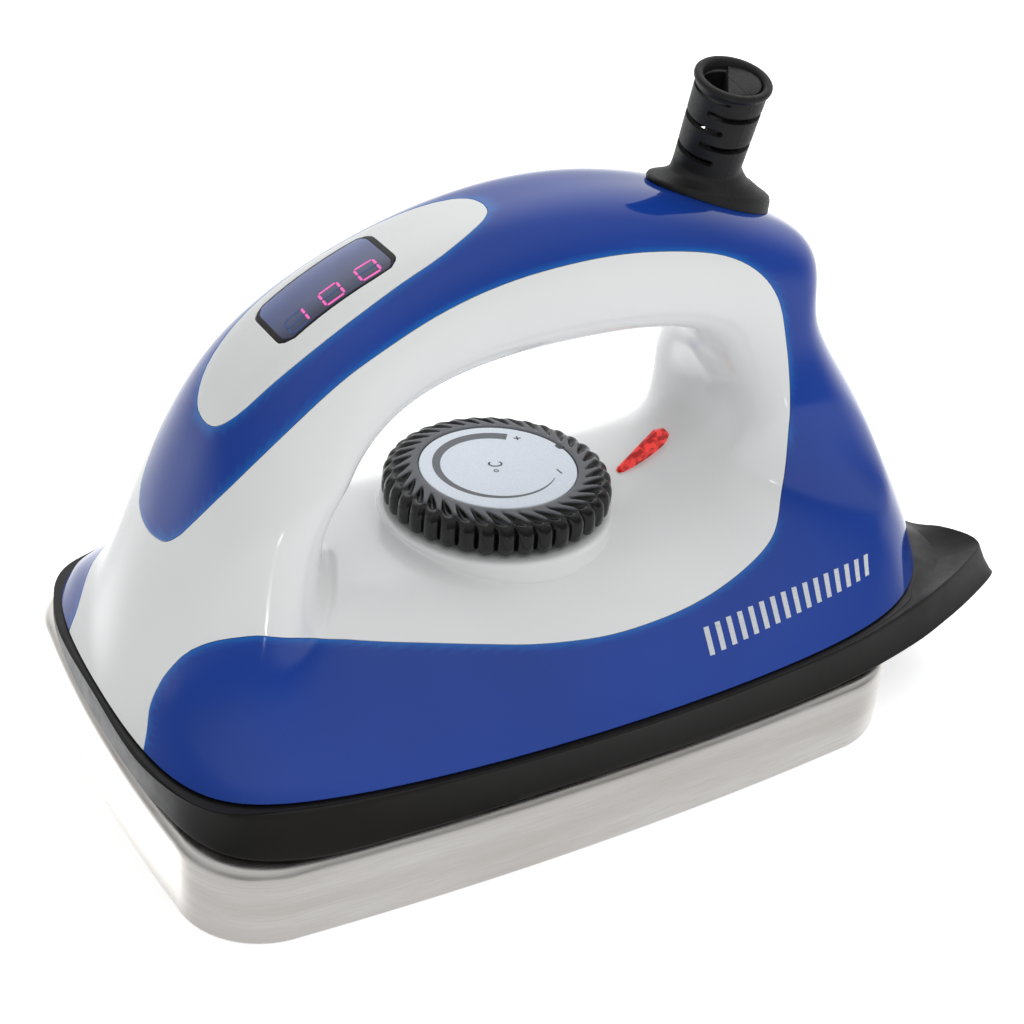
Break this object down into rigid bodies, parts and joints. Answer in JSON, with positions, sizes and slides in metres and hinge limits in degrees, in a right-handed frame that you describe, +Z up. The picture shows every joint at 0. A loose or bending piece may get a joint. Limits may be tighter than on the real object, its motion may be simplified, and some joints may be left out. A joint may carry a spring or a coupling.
{
  "type": "ski waxing iron",
  "caption": "Electric waxing iron: thick aluminium sole plate, two-tone body with a finger opening, turning temperature knob, digital display and rubber cord sleeve.",
  "frame": {"origin": "centre of the sole plate's flat underside, on the surface that the iron is pressed on", "axes": "+X towards the heel with the two horns, so the nose points to -X; the finger opening runs along Y; +Z up, away from the sole"},
  "size_m": [0.1946, 0.1082, 0.1324],
  "materials": {
    "plate_aluminium": "brushed, with a bright rounded rim",
    "sheet_aluminium": "mill",
    "steel": "plain",
    "brass": "plain",
    "insulation": "matt",
    "black_plastic": "satin",
    "blue_gloss": "high gloss",
    "white_gloss": "high gloss",
    "smoked_window": "clear smoked",
    "circuit_board": "solder mask",
    "component_black": "matt",
    "wire_brown": "matt",
    "wire_blue": "matt",
    "wire_green": "matt",
    "knob_black": "gloss",
    "dial_silver": "satin",
    "red_lens": "clear red",
    "led_clear": "clear",
    "black_rubber": "matt"
  },
  "bodies": {
    "iron": {"sole_plate": "plate_aluminium", "heating_element": "steel", "element_terminal_live": "brass", "element_terminal_neutral": "brass", "standoff_1": "steel", "standoff_2": "steel", "standoff_3": "steel", "standoff_4": "steel", "plate_screw_1": "steel", "plate_screw_2": "steel", "plate_screw_3": "steel", "plate_screw_4": "steel", "heat_shield": "sheet_aluminium", "insulation_sheet": "insulation", "temperature_sensor": "steel", "thermal_fuse": "steel", "fuse_clip": "steel", "base_skirt": "black_plastic", "outer_housing": "blue_gloss", "inner_housing": "white_gloss", "display_cover": "white_gloss", "display_window": "smoked_window", "control_board": "circuit_board", "board_post_1": "brass", "board_post_2": "brass", "board_post_3": "brass", "board_post_4": "brass", "triac": "component_black", "heat_sink": "sheet_aluminium", "capacitor": "component_black", "terminal_block": "white_gloss", "display_board": "circuit_board", "led_module": "component_black", "display_ribbon": "component_black", "wire_live": "wire_brown", "wire_neutral": "wire_blue", "wire_earth": "wire_green", "potentiometer": "steel", "pot_nut": "steel", "lamp_lens": "red_lens", "lamp_led": "led_clear", "cord_sleeve": "black_rubber", "cord_end": "black_rubber", "cord_clamp": "steel", "clamp_screw_1": "steel", "clamp_screw_2": "steel"},
    "knob": {"knob_grip": "knob_black", "dial_disc": "dial_silver", "pot_shaft": "steel"}
  },
  "joints": [
    {"name": "knob_turn", "type": "hinge", "parent": "iron", "child": "knob", "pos_m": [0.0044, 0, 0.05], "axis": [0, 0, 1], "range_deg": [0, 270]}
  ]
}
